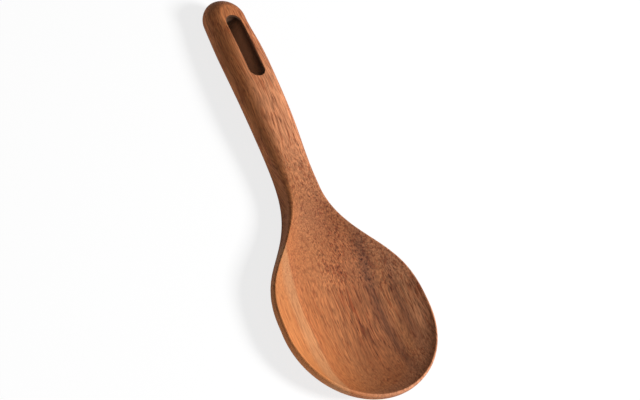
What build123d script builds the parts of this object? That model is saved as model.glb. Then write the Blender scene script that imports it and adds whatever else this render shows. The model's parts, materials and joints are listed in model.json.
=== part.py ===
from build123d import *
import os

os.makedirs("parts", exist_ok=True)

# A wooden rice paddle, carved from one thick board: a rounded, gently arched handle
# with a hanging slot, a narrow square-sided neck, and a wide dished bowl whose tip is a
# half round. Millimetres, +Z up. It lies as it does on a table, on the keel of its bowl
# and on the underside of its handle's end. +Y runs from the handle's end to the bowl's
# tip, and the origin is on the table at the middle of its length and width.

# Lengths along the paddle. The half-round tip adds half the bowl's width to them.
handle_length = 110.0  # handle's end to the narrowest place of the neck
shoulder_length = 74.0  # from there to the widest place of the bowl
run_in = 2.0  # how far the first and last sections run straight

# Handle's end: a quarter-rounded half disc that rests on the table
end_width = 22.9
end_height = 15.8  # its edge over the table
end_lift = 0.0

# Grip: the widest and highest stretch of the handle
grip_width = 25.7
grip_height = 18.05  # its edges over the table, at the top of the arch
grip_lift = 4.5  # the gap that the arch leaves under it
grip_crown = 0.2  # how far the middle of its upper face stands over the edges
grip_edge_reach = 7.5  # how far its rounded edge reaches in from the side
grip_edge_drop = 7.0  # how far its rounded edge reaches down from the upper face

# Neck: narrow, with upright sides and a tighter edge
neck_width = 19.4
neck_height = 14.5
neck_lift = 1.2
neck_crown = 0.1
neck_edge_reach = 2.6
neck_edge_drop = 2.4

# Bowl: a shallow dish with a thin rounded rim
bowl_width = 82.0
bowl_floor = 3.8  # wood left under the deepest place
bowl_lift = 0.0
dish_depth = 9.4
rim_edge_reach = 1.3
rim_edge_drop = 1.1

# Hanging slot, cut straight through the handle, with eased edges
slot_width = 8.0
slot_length = 36.6
slot_margin = 13.2  # wood between the handle's end and the slot
slot_easing = 0.6  # the bevel on its edges
slot_face = 0.3  # the least upper face between that bevel and the handle's rounded edge

overrun = 5.0  # how far a cutter stands clear of the wood

# Heights and places that follow from the sizes above
rim_height = bowl_floor + dish_depth
end_radius = end_width / 2
tip_radius = bowl_width / 2
paddle_length = handle_length + shoulder_length + tip_radius
end_y = -paddle_length / 2
end_middle_y = end_y + end_radius
neck_y = end_y + handle_length
bowl_middle_y = neck_y + shoulder_length

# Stations of the handle, from its end to the neck. The place is a share of the stretch.
# Width, height, lift, crown and edge are shares of the way from the neck's size to the
# grip's. The side is the share of the flank that stands upright, and the fullness is how
# square the underside's curve is.
# place, width, height, lift, crown, edge, side, fullness
handle_shares = [
    (0.14, 0.87, 0.62, 0.24, 1.00, 1.00, 0.03, 0.60),
    (0.32, 1.00, 0.88, 0.91, 1.00, 1.00, 0.04, 0.60),
    (0.49, 0.87, 1.00, 1.00, 1.00, 0.95, 0.05, 0.60),
    (0.68, 0.58, 0.90, 0.70, 1.00, 0.80, 0.12, 0.61),
    (0.86, 0.15, 0.43, 0.27, 0.65, 0.42, 0.33, 0.63),
    (1.00, 0.00, 0.00, 0.00, 0.00, 0.00, 0.62, 0.64),
]

# Stations of the shoulders and the bowl, from the neck to the bowl's widest place, as
# shares of the way from the neck's size to the bowl's. The crown turns into the dish, and
# its share also says how far the face and the edge have taken on the bowl's curve.
bowl_shares = [
    (0.135, 0.04, 0.85, 0.42, 0.10, 0.53, 0.79, 0.64),
    (0.27, 0.18, 1.45, 0.67, 0.32, 0.84, 0.74, 0.64),
    (0.405, 0.40, 1.25, 0.83, 0.56, 1.00, 0.59, 0.63),
    (0.57, 0.715, 0.80, 0.93, 0.79, 1.00, 0.32, 0.61),
    (0.76, 0.945, 1.00, 0.98, 0.94, 1.00, 0.15, 0.58),
    (1.00, 1.00, 1.00, 1.00, 1.00, 1.00, 0.12, 0.55),
]
# The end takes these from the handle: crown and edge as above, then side and fullness
end_crown_share, end_edge_share, end_side_share, end_fullness_share = 0.90, 0.92, 0.03, 0.60

# How a section's upper face and its rounded edge curve, first on the handle, then on the
# bowl. The face leaves its edge by the lean and the rise, as shares of its half width and
# of its crown. The edge keeps to the face's line by the start and to the side's by the
# finish, as shares of its reach and drop: the bigger they are, the squarer it is.
handle_lean_share, handle_rise_share, handle_start_share, handle_finish_share = 0.50, 1.00, 0.30, 0.45
bowl_lean_share, bowl_rise_share, bowl_start_share, bowl_finish_share = 0.80, 0.81, 0.60, 0.60
face_level_share = 0.33  # the share of the face's half width, from its middle, that is level
edge_crease = 1.5  # degrees by which the edge turns down from the face: a faint line


def blend(start, finish, share):
    """The size that lies the given share of the way from start to finish."""
    return start + (finish - start) * share


def handle_sizes(width, height, lift, crown, edge, side, fullness):
    """The six sizes of a section of the handle and three shares, the last of which says how
    far the upper face has turned from a crown into a dish. The rounded edge reaches no
    further in than the slot's bevel lets it."""
    edge_room = width / 2 - slot_width / 2 - slot_easing - slot_face
    return (
        width,
        height,
        lift,
        blend(neck_crown, grip_crown, crown),
        min(blend(neck_edge_reach, grip_edge_reach, edge), edge_room),
        blend(neck_edge_drop, grip_edge_drop, edge),
        side,
        fullness,
        0,
    )


def handle_section(place, width, height, lift, crown, edge, side, fullness):
    """One station of the handle: its place and its section."""
    return (
        blend(end_middle_y, neck_y, place),
        *handle_sizes(
            blend(neck_width, grip_width, width),
            blend(neck_height, grip_height, height),
            blend(neck_lift, grip_lift, lift),
            crown,
            edge,
            side,
            fullness,
        ),
    )


def bowl_section(place, width, height, lift, crown, edge, side, fullness):
    """One station of the bowl, where the crown becomes the depth of the dish."""
    return (
        blend(neck_y, bowl_middle_y, place),
        blend(neck_width, bowl_width, width),
        blend(neck_height, rim_height, height),
        blend(neck_lift, bowl_lift, lift),
        blend(neck_crown, -dish_depth, crown),
        blend(neck_edge_reach, rim_edge_reach, edge),
        blend(neck_edge_drop, rim_edge_drop, edge),
        side,
        fullness,
        crown,
    )


def half_outline(width, height, lift, crown, edge_reach, edge_drop, side, fullness, dish):
    """Draws half a section on the right of the sketch plane, from the middle of its
    upper face out to the edge, down its side and back along the underside to the keel."""
    half_width = width / 2
    face_end = half_width - edge_reach
    side_top = height - edge_drop
    side_foot = blend(side_top, lift, side)
    lean_share = blend(handle_lean_share, bowl_lean_share, dish)
    rise = crown * blend(handle_rise_share, bowl_rise_share, dish)
    start = edge_reach * blend(handle_start_share, bowl_start_share, dish)
    finish = edge_drop * blend(handle_finish_share, bowl_finish_share, dish)
    # The edge's curve sets out along the line on which the upper face arrives, less the crease
    lean = Vector(face_end * (1 - lean_share), -rise).normalized().rotate(Axis.Z, -edge_crease)
    Bezier(
        (0, height + crown),
        (face_end * face_level_share, height + crown),
        (face_end * lean_share, height + rise),
        (face_end, height),
    )
    Bezier(
        (face_end, height),
        (face_end + lean.X * start, height + lean.Y * start),
        (half_width, side_top + finish),
        (half_width, side_top),
    )
    Line((half_width, side_top), (half_width, side_foot))
    Bezier(
        (half_width, side_foot),
        (half_width, blend(side_foot, lift, fullness)),
        (half_width * fullness, lift),
        (0, lift),
    )


end_sizes = handle_sizes(
    end_width,
    end_height,
    end_lift,
    end_crown_share,
    end_edge_share,
    end_side_share,
    end_fullness_share,
)
stations = [(end_middle_y, *end_sizes), (end_middle_y + run_in, *end_sizes)]
stations += [handle_section(*shares) for shares in handle_shares]
stations += [bowl_section(*shares) for shares in bowl_shares]
bowl_sizes = stations[-1][1:]
stations.insert(-1, (bowl_middle_y - run_in, *bowl_sizes))

with BuildPart() as paddle_body:
    # The body from the handle's end to the widest place of the bowl
    for station_y, *sizes in stations:
        with BuildSketch(Plane.XZ.offset(-station_y)):
            with BuildLine():
                half_outline(*sizes)
                mirror(about=Plane.YZ)
            make_face()
    loft()

    # Both ends are the same half sections, turned about an upright line
    for middle_y, sizes, turn in ((end_middle_y, end_sizes, -1), (bowl_middle_y, bowl_sizes, 1)):
        width, height, lift, crown = sizes[:4]
        with BuildSketch(Plane.XZ.offset(-middle_y)):
            with BuildLine():
                half_outline(*sizes)
                Line((0, lift), (0, height + crown))
            make_face()
        revolve(axis=Axis((0, middle_y, 0), (0, 0, turn)), revolution_arc=180)

    # The hanging slot, square to the table, with its edges eased on both faces
    with BuildSketch(Plane.XY.offset(-overrun)):
        with Locations((0, end_y + slot_margin + slot_length / 2)):
            SlotOverall(slot_length, slot_width, rotation=90)
    extrude(amount=grip_height + grip_crown + overrun + overrun, mode=Mode.SUBTRACT)
    slot_edges = edges(Select.LAST)
    chamfer(slot_edges - slot_edges.filter_by(Axis.Z), length=slot_easing)

paddle_body.part.label = "paddle_body"
export_step(paddle_body.part, "parts/paddle_body.step")
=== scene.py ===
import json
import math

import bpy
from mathutils import Matrix, Vector

# A wooden rice paddle lying on its back on a pale table, in soft light from the picture's right

MM = 0.001

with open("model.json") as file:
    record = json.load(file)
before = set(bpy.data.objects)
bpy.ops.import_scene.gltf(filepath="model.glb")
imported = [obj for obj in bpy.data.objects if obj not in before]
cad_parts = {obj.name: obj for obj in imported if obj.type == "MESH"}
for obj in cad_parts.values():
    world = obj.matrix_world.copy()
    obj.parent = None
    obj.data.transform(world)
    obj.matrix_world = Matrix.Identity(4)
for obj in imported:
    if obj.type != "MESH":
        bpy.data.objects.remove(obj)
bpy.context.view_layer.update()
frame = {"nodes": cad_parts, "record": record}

# The hanging slot, in millimetres. The record states its place and size, but not its bevel
slot_mount = frame["record"]["mounts"][0]
slot_middle = slot_mount["pos_m"][1] / MM
slot_radius = slot_mount["dims"]["hole_r_mm"]
slot_straight = slot_mount["dims"]["slot_length_mm"] - 2 * slot_radius
slot_bevel = 0.6

# The height of the bowl's rim, in millimetres
rim_top = 13.2


def linear(code):
    """A colour written as an sRGB hex code, as the linear values that shaders take."""
    parts = [int(code[i:i + 2], 16) / 255 for i in (1, 3, 5)]
    return [p / 12.92 if p <= 0.04045 else ((p + 0.055) / 1.055) ** 2.4 for p in parts] + [1.0]


def add(material, kind, inputs=None, stops=None, **settings):
    """Adds a node to a material. The settings are the node's properties, inputs gives each
    input by name or place a value or the output that feeds it, and stops are the places
    and colours of a ramp."""
    node = material.node_tree.nodes.new(kind)
    for name, value in settings.items():
        setattr(node, name, value)
    for name, value in (inputs or {}).items():
        if isinstance(value, bpy.types.NodeSocket):
            material.node_tree.links.new(value, node.inputs[name])
        else:
            node.inputs[name].default_value = value
    if stops:
        elements = node.color_ramp.elements
        while len(elements) < len(stops):
            elements.new(1.0)
        for element, (place, code) in zip(elements, stops):
            element.position = place
            element.color = linear(code)
    return node


def new_material(name):
    """An empty node material."""
    material = bpy.data.materials.new(name)
    material.use_nodes = True
    material.node_tree.nodes.clear()
    return material


def wandering_grain(wood, mm):
    """A place in the wood, in millimetres, followed along the grain, which wanders by about
    a millimetre every few centimetres."""
    slow = add(wood, "ShaderNodeVectorMath", {0: mm, 1: (16.0, 45.0, 16.0)}, operation="DIVIDE")
    sway = add(wood, "ShaderNodeTexNoise", {"Vector": slow.outputs[0], "Scale": 1.0, "Detail": 2.0})
    centred = add(
        wood,
        "ShaderNodeVectorMath",
        {0: sway.outputs["Color"], 1: (0.5, 0.5, 0.5)},
        operation="SUBTRACT",
    )
    bent = add(
        wood,
        "ShaderNodeVectorMath",
        {0: centred.outputs[0], 1: (7.0, 0.0, 7.0), 2: mm},
        operation="MULTIPLY_ADD",
    )
    return bent.outputs[0]


def climbing_fibre(wood, grain, along):
    """The same place, followed along the fibres. They climb by 27 mm from the handle to the
    middle of the bowl, so the surface cuts across them there."""
    climb = add(
        wood,
        "ShaderNodeMapRange",
        {"Value": along, "From Min": -22.0, "From Max": 56.0, "To Min": 0.0, "To Max": -27.0},
        interpolation_type="SMOOTHSTEP",
    )
    lowered = add(wood, "ShaderNodeCombineXYZ", {"Z": climb.outputs["Result"]})
    fibre = add(wood, "ShaderNodeVectorMath", {0: grain, 1: lowered.outputs[0]}, operation="ADD")
    return fibre.outputs[0]


def growth_layers(wood, mm, across):
    """The wood's colour by its growth layers: brown heartwood with dark layers towards -X,
    orange sapwood with one pale band towards +X. Their places across the board are in
    millimetres. Over them the upper faces are painted paler, partly as painted sheen."""
    half_board = 42.0
    layer = add(
        wood,
        "ShaderNodeMapRange",
        {"Value": across, "From Min": -half_board, "From Max": half_board},
    )
    layers = [
        (-38, "#CB9366"),
        (-33, "#B77B4E"),
        (-28, "#8A5335"),
        (-23, "#BA7649"),
        (-17, "#865033"),
        (-13, "#AC6940"),
        (-5, "#A9643A"),
        (8, "#B87244"),
        (19, "#C07340"),
        (23, "#C27341"),
        (24.5, "#CC8A59"),
        (29, "#CC8A59"),
        (33, "#D0824A"),
    ]
    stops = [((x / half_board + 1) / 2, code) for x, code in layers]
    body = add(wood, "ShaderNodeValToRGB", {"Fac": layer.outputs["Result"]}, stops=stops)

    # Higher up in the board, and a little towards -X, the colour turns paler on the handle and the
    # rim: partly the wood's own paler tone towards the bark, partly painted sheen on the upper
    # faces and painted light on the far shoulder
    bark = add(wood, "ShaderNodeVectorMath", {0: mm, 1: (-0.12, 0.03, 1.0)}, operation="DOT_PRODUCT")
    pale = add(
        wood,
        "ShaderNodeMapRange",
        {"Value": bark.outputs["Value"], "From Min": 13.0, "From Max": 18.0},
    )
    blended = add(
        wood,
        "ShaderNodeMix",
        {0: pale.outputs["Result"], 6: body.outputs["Color"], 7: linear("#D08B62")},
        data_type="RGBA",
    )
    return blended.outputs[2]


def broad_shades(wood, grain, spot, cut):
    """The wide soft changes of tone, each as a factor, with painted shade and a painted highlight among
    them.
    """
    # The heartwood side of the board is darker, and its border slants: partly the heartwood's
    # own tone, partly painted shade on the side that turns away from the lamp
    slant = add(wood, "ShaderNodeVectorMath", {0: grain, 1: (1.0, -0.42, 0.6)}, operation="DOT_PRODUCT")
    heartwood_and_painted_shade = add(
        wood,
        "ShaderNodeMapRange",
        {
            "Value": slant.outputs["Value"],
            "From Min": -40.0,
            "From Max": -8.0,
            "To Min": 0.77,
            "To Max": 1.0,
        },
        interpolation_type="SMOOTHSTEP",
    )

    # Cut across the grain, the wood drinks more oil and darkens: at both ends, by how far
    # the surface faces along Y, and in the neck, near a line that slants across the climb.
    # Both are partly that darker wood and partly painted shade, which holds the neck's slope
    # towards the lamp darker
    soaked_and_painted_shade = add(
        wood,
        "ShaderNodeMapRange",
        {"Value": cut, "From Min": 0.0, "From Max": 0.5, "To Min": 1.0, "To Max": 0.9},
    )
    askew = add(wood, "ShaderNodeVectorMath", {0: grain, 1: (-1.0, 1.0, 0.0)}, operation="DOT_PRODUCT")
    past_line = add(wood, "ShaderNodeMath", {0: askew.outputs["Value"], 1: 8.0}, operation="SUBTRACT")
    off_line = add(wood, "ShaderNodeMath", {0: past_line.outputs[0]}, operation="ABSOLUTE")
    dark_neck_painted_shade = add(
        wood,
        "ShaderNodeMapRange",
        {
            "Value": off_line.outputs[0],
            "From Min": 4.0,
            "From Max": 44.0,
            "To Min": 0.86,
            "To Max": 1.0,
        },
        interpolation_type="SMOOTHSTEP",
    )

    # The uppermost millimetre of the bowl's rim is painted paler, more so towards the tip: a
    # painted highlight where the rim's top catches the lamp
    on_top = add(
        wood,
        "ShaderNodeMapRange",
        {
            "Value": spot.outputs["Z"],
            "From Min": rim_top - 0.9,
            "From Max": rim_top - 0.25,
            "To Min": 1.0,
            "To Max": 1.2,
        },
    )
    painted_rim_highlight = add(
        wood,
        "ShaderNodeMapRange",
        {
            "Value": spot.outputs["Y"],
            "From Min": 50.0,
            "From Max": 75.0,
            "To Min": 1.0,
            "To Max": on_top.outputs["Result"],
        },
    )
    return [factor.outputs["Result"] for factor in (heartwood_and_painted_shade, soaked_and_painted_shade, dark_neck_painted_shade, painted_rim_highlight)]


def grain_strength(wood, grain, across, along):
    """How strongly the fine grain shows: in loose patches, and more calmly on the sapwood
    side and at the tip."""
    wide = add(wood, "ShaderNodeVectorMath", {0: grain, 1: (6.0, 30.0, 6.0)}, operation="DIVIDE")
    patches = add(wood, "ShaderNodeTexNoise", {"Vector": wide.outputs[0], "Scale": 1.0, "Detail": 1.0})
    patchy = add(
        wood,
        "ShaderNodeMapRange",
        {
            "Value": patches.outputs["Fac"],
            "From Min": 0.35,
            "From Max": 0.62,
            "To Min": 0.75,
            "To Max": 1.12,
        },
    )
    sapwood = add(
        wood,
        "ShaderNodeMapRange",
        {"Value": across, "From Min": -4.0, "From Max": 28.0, "To Min": 1.0, "To Max": 0.4},
    )
    tip = add(
        wood,
        "ShaderNodeMapRange",
        {"Value": along, "From Min": 72.0, "From Max": 95.0, "To Min": 1.0, "To Max": 0.6},
    )
    strength = patchy.outputs["Result"]
    for calmer in (sapwood, tip):
        product = add(
            wood, "ShaderNodeMath", {0: strength, 1: calmer.outputs["Result"]}, operation="MULTIPLY"
        )
        strength = product.outputs[0]
    return strength


def fine_grain(wood, fibre, strength):
    """The streaks, the dark vessels and the open pores, all drawn out along the fibres, with
    their width and length in millimetres. Gives the tone that they make together and then
    each of the three."""
    # Streaks
    thin = add(wood, "ShaderNodeVectorMath", {0: fibre, 1: (0.65, 9.0, 0.65)}, operation="DIVIDE")
    streaks = add(
        wood,
        "ShaderNodeTexNoise",
        {"Vector": thin.outputs[0], "Scale": 1.0, "Detail": 2.0, "Roughness": 0.6},
    )
    lift = add(
        wood,
        "ShaderNodeMapRange",
        {
            "Value": streaks.outputs["Fac"],
            "From Min": 0.3,
            "From Max": 0.7,
            "To Min": 0.5,
            "To Max": 1.56,
        },
    )

    # Bundles of dark vessels, which the pores crowd into
    loose = add(wood, "ShaderNodeVectorMath", {0: fibre, 1: (1.1, 17.0, 1.1)}, operation="DIVIDE")
    bundles = add(
        wood,
        "ShaderNodeTexNoise",
        {"Vector": loose.outputs[0], "Scale": 1.0, "Detail": 3.0, "Roughness": 0.55},
    )
    vessels = add(
        wood,
        "ShaderNodeMapRange",
        {
            "Value": bundles.outputs["Fac"],
            "From Min": 0.5,
            "From Max": 0.62,
            "To Min": 0.0,
            "To Max": strength,
        },
        interpolation_type="SMOOTHSTEP",
    )
    crowd = add(
        wood,
        "ShaderNodeMapRange",
        {
            "Value": bundles.outputs["Fac"],
            "From Min": 0.42,
            "From Max": 0.6,
            "To Min": 0.85,
            "To Max": 0.3,
        },
    )

    # Pores, one in each cell and about half as wide as it
    cells = add(wood, "ShaderNodeVectorMath", {0: fibre, 1: (0.8, 5.0, 0.8)}, operation="DIVIDE")
    pore = add(wood, "ShaderNodeTexVoronoi", {"Vector": cells.outputs[0], "Scale": 1.0})
    open_pore = add(
        wood,
        "ShaderNodeMapRange",
        {
            "Value": pore.outputs["Distance"],
            "From Min": 0.12,
            "From Max": 0.38,
            "To Min": crowd.outputs["Result"],
            "To Max": 1.0,
        },
        interpolation_type="SMOOTHSTEP",
    )

    # The calmer the grain is, the nearer the tone comes to one even value
    fine = add(
        wood,
        "ShaderNodeMath",
        {0: lift.outputs["Result"], 1: open_pore.outputs["Result"]},
        operation="MULTIPLY",
    )
    grained = add(wood, "ShaderNodeMix", {0: strength, 2: 0.91, 3: fine.outputs[0]}, clamp_factor=False)
    return (
        grained.outputs[0],
        streaks.outputs["Fac"],
        vessels.outputs["Result"],
        open_pore.outputs["Result"],
    )


def scorched_and_shaded_slot(wood, mm, spot, cut):
    """Where the slot's walls are darkened, and in what colour: partly scorched by the cutter,
    partly painted shade in the recess. A place is inside the slot if it lies within its radius
    of the straight line down its middle. At both ends, where the cutter went across the grain,
    it scorched the bevel too, and there the painted shade is darker."""
    middle = (0.0, slot_middle, 0.0)
    from_middle = add(wood, "ShaderNodeVectorMath", {0: mm, 1: middle}, operation="SUBTRACT")
    folded = add(wood, "ShaderNodeVectorMath", {0: from_middle.outputs[0]}, operation="ABSOLUTE")
    past_straight = add(
        wood,
        "ShaderNodeVectorMath",
        {0: folded.outputs[0], 1: (0.0, slot_straight / 2, 0.0)},
        operation="SUBTRACT",
    )
    nearest = add(
        wood,
        "ShaderNodeVectorMath",
        {0: past_straight.outputs[0], 1: (0.0, 0.0, 0.0)},
        operation="MAXIMUM",
    )
    flat = add(
        wood,
        "ShaderNodeVectorMath",
        {0: nearest.outputs[0], 1: (1.0, 1.0, 0.0)},
        operation="MULTIPLY",
    )
    off_line = add(wood, "ShaderNodeVectorMath", {0: flat.outputs[0]}, operation="LENGTH")
    # On the bevel cut reaches 0.7 at the ends, so one and a half bevels take all of it in
    reached = add(
        wood,
        "ShaderNodeMath",
        {0: cut, 1: -1.5 * slot_bevel, 2: off_line.outputs["Value"]},
        operation="MULTIPLY_ADD",
    )
    scorch_and_shade = add(
        wood,
        "ShaderNodeMapRange",
        {
            "Value": reached.outputs[0],
            "From Min": slot_radius,
            "From Max": slot_radius + slot_bevel,
            "To Min": 1.0,
            "To Max": 0.0,
        },
    )

    # Painted shade: darker towards the upper mouth and at the ends
    mouth = add(
        wood,
        "ShaderNodeMapRange",
        {"Value": spot.outputs["Z"], "From Min": 10.0, "From Max": 15.0},
    )
    burnt_and_shaded = add(
        wood,
        "ShaderNodeMix",
        {0: mouth.outputs["Result"], 6: linear("#AF8B72"), 7: linear("#6A4C3A")},
        data_type="RGBA",
    )
    end_tone = add(
        wood,
        "ShaderNodeMapRange",
        {"Value": cut, "From Min": 0.2, "From Max": 0.8, "To Min": 1.0, "To Max": 0.35},
    )
    charred_and_shaded = add(
        wood,
        "ShaderNodeVectorMath",
        {0: burnt_and_shaded.outputs[2], "Scale": end_tone.outputs["Result"]},
        operation="SCALE",
    )
    return scorch_and_shade.outputs["Result"], charred_and_shaded.outputs[0]


def oiled_hardwood():
    """Open-pored reddish brown hardwood, sawn flat, carved, sanded and oiled.

    The grain runs along Y. The growth layers stand nearly upright and follow the board, so
    they show as long straight bands. The pores are short thin tubes along the grain:
    dashes where the surface follows it, dots where it cuts across. Real pores are 0.1 to
    0.2 mm wide, too fine to show, so they are drawn about 0.4 mm wide. The oil leaves a
    low sheen, a little duller in the dark streaks. The slot's scorched walls, which also
    carry painted shade, have hardly any."""
    wood = new_material("oiled_hardwood_carved_and_sanded")
    place = add(wood, "ShaderNodeTexCoord")
    # Object coordinates in millimetres
    in_mm = add(
        wood,
        "ShaderNodeVectorMath",
        {0: place.outputs["Object"], "Scale": 1 / MM},
        operation="SCALE",
    )
    mm = in_mm.outputs[0]
    spot = add(wood, "ShaderNodeSeparateXYZ", {0: mm})
    # How far the surface cuts across the grain: 1 where it faces along it
    facing = add(wood, "ShaderNodeSeparateXYZ", {0: place.outputs["Normal"]})
    cut = add(wood, "ShaderNodeMath", {0: facing.outputs["Y"]}, operation="ABSOLUTE").outputs[0]

    # How far along the grain a place is, and how far across the board and a little how high
    grain = wandering_grain(wood, mm)
    along = add(wood, "ShaderNodeSeparateXYZ", {0: grain}).outputs["Y"]
    sideways = add(
        wood,
        "ShaderNodeVectorMath",
        {0: grain, 1: (1.0, 0.0, 0.25)},
        operation="DOT_PRODUCT",
    )
    across = sideways.outputs["Value"]
    fibre = climbing_fibre(wood, grain, along)
    strength = grain_strength(wood, grain, across, along)

    # All that changes the tone, one after the other
    tone, streaks, vessels, pores = fine_grain(wood, fibre, strength)
    for shade in broad_shades(wood, grain, spot, cut):
        tone = add(wood, "ShaderNodeMath", {0: tone, 1: shade}, operation="MULTIPLY").outputs[0]
    body = growth_layers(wood, mm, across)
    shaded = add(wood, "ShaderNodeVectorMath", {0: body, "Scale": tone}, operation="SCALE")
    toned = add(
        wood,
        "ShaderNodeMix",
        {0: vessels, 6: shaded.outputs[0], 7: linear("#D2B6A6")},
        data_type="RGBA",
        blend_type="MULTIPLY",
    )
    # The slot's walls take their scorched colour together with painted shade
    scorch_and_shade, charred_and_shaded = scorched_and_shaded_slot(wood, mm, spot, cut)
    colour = add(
        wood,
        "ShaderNodeMix",
        {0: scorch_and_shade, 6: toned.outputs[2], 7: charred_and_shaded},
        data_type="RGBA",
    )

    # Satin oil, rougher in the dark streaks, and pores that lie a little lower
    sheen = add(wood, "ShaderNodeMapRange", {"Value": scorch_and_shade, "To Min": 0.3, "To Max": 0.05})
    satin = add(
        wood,
        "ShaderNodeMapRange",
        {"Value": streaks, "From Min": 0.3, "From Max": 0.7, "To Min": 0.76, "To Max": 0.64},
    )
    relief = add(wood, "ShaderNodeBump", {"Height": pores, "Strength": 0.3, "Distance": 0.2 * MM})
    shader = add(
        wood,
        "ShaderNodeBsdfPrincipled",
        {
            "Base Color": colour.outputs[2],
            "Roughness": satin.outputs["Result"],
            "Specular IOR Level": sheen.outputs["Result"],
            "Normal": relief.outputs["Normal"],
        },
    )
    add(wood, "ShaderNodeOutputMaterial", {"Surface": shader.outputs["BSDF"]})
    return wood


def white_paper():
    """Matt white paper that glows to the camera, so that its shadow is kept but faint."""
    glow_share = 0.8
    paper = new_material("white_paper")
    path = add(paper, "ShaderNodeLightPath")
    matt = add(paper, "ShaderNodeBsdfDiffuse", {"Color": linear("#FFFFFF")})
    glow = add(paper, "ShaderNodeEmission", {"Color": linear("#FFFFFF")})
    straight = path.outputs["Is Camera Ray"]
    for ray in ("Is Glossy Ray", "Is Transmission Ray"):
        either = add(paper, "ShaderNodeMath", {0: straight, 1: path.outputs[ray]}, operation="MAXIMUM")
        straight = either.outputs[0]
    seen = add(paper, "ShaderNodeMath", {0: straight, 1: glow_share}, operation="MULTIPLY")
    shader = add(
        paper,
        "ShaderNodeMixShader",
        {0: seen.outputs[0], 1: matt.outputs["BSDF"], 2: glow.outputs["Emission"]},
    )
    add(paper, "ShaderNodeOutputMaterial", {"Surface": shader.outputs["Shader"]})
    return paper


paddle = frame["nodes"]["paddle_body"]
paddle.data.materials.clear()
paddle.data.materials.append(oiled_hardwood())

# Camera: high over the bowl's near side, turned so that the handle points up the picture. The
# pivot is a point 10 mm over the table at the paddle's middle, and falls on pivot_pixel
camera_distance = 1.0
camera_bearing = math.radians(36.38)
camera_height = math.radians(49.28)
camera_roll = math.radians(37.27)
focal_pixels = 2081.0
pivot = Vector((0, 0, 10 * MM))
pivot_pixel = Vector((300.43, 191.24))
picture_size = Vector((640, 400))

back = Vector((
    math.cos(camera_height) * math.cos(camera_bearing),
    math.cos(camera_height) * math.sin(camera_bearing),
    math.sin(camera_height),
))
level_right = Vector((0, 0, 1)).cross(back).normalized()
level_up = back.cross(level_right)
right = level_right * math.cos(camera_roll) + level_up * math.sin(camera_roll)
up = back.cross(right)
off_x, off_y = (picture_size / 2 - pivot_pixel) / focal_pixels * camera_distance
aim = pivot + right * off_x - up * off_y
eye = pivot + back * camera_distance
axis = (eye - aim).normalized()
side = up.cross(axis).normalized()
turn = Matrix((side, axis.cross(side), axis)).transposed()
camera = bpy.data.objects.new("camera", bpy.data.cameras.new("camera"))
camera.data.sensor_width = 36
camera.data.lens = focal_pixels * camera.data.sensor_width / picture_size.x
camera.matrix_world = Matrix.Translation(eye) @ turn.to_4x4()
bpy.context.scene.collection.objects.link(camera)
bpy.context.scene.camera = camera

# Floor
reach = 3.0
corners = [(-reach, -reach, 0), (reach, -reach, 0), (reach, reach, 0), (-reach, reach, 0)]
floor_mesh = bpy.data.meshes.new("floor")
floor_mesh.from_pydata(corners, [], [(0, 1, 2, 3)])
floor = bpy.data.objects.new("floor", floor_mesh)
bpy.context.scene.collection.objects.link(floor)
floor.data.materials.append(white_paper())

# Light: a dim white room, and one soft lamp at the picture's right
room_light = 0.09
world = bpy.data.worlds.new("studio")
bpy.context.scene.world = world
world.use_nodes = True
world.node_tree.nodes["Background"].inputs["Color"].default_value = (1, 1, 1, 1)
world.node_tree.nodes["Background"].inputs["Strength"].default_value = room_light
lamp_bearing = math.radians(143)
lamp_height = math.radians(41)
lamp_distance = 2.0
lamp_size = 0.6
lamp_watts = 58
lamp = bpy.data.objects.new("lamp", bpy.data.lights.new("lamp", "AREA"))
lamp.data.size = lamp_size
lamp.data.energy = lamp_watts
lamp.location = Vector((
    lamp_distance * math.cos(lamp_height) * math.cos(lamp_bearing),
    lamp_distance * math.cos(lamp_height) * math.sin(lamp_bearing),
    lamp_distance * math.sin(lamp_height),
))
lamp.rotation_mode = "QUATERNION"
lamp.rotation_quaternion = lamp.location.to_track_quat("Z", "Y")
bpy.context.scene.collection.objects.link(lamp)

bpy.context.scene.view_settings.view_transform = "Standard"
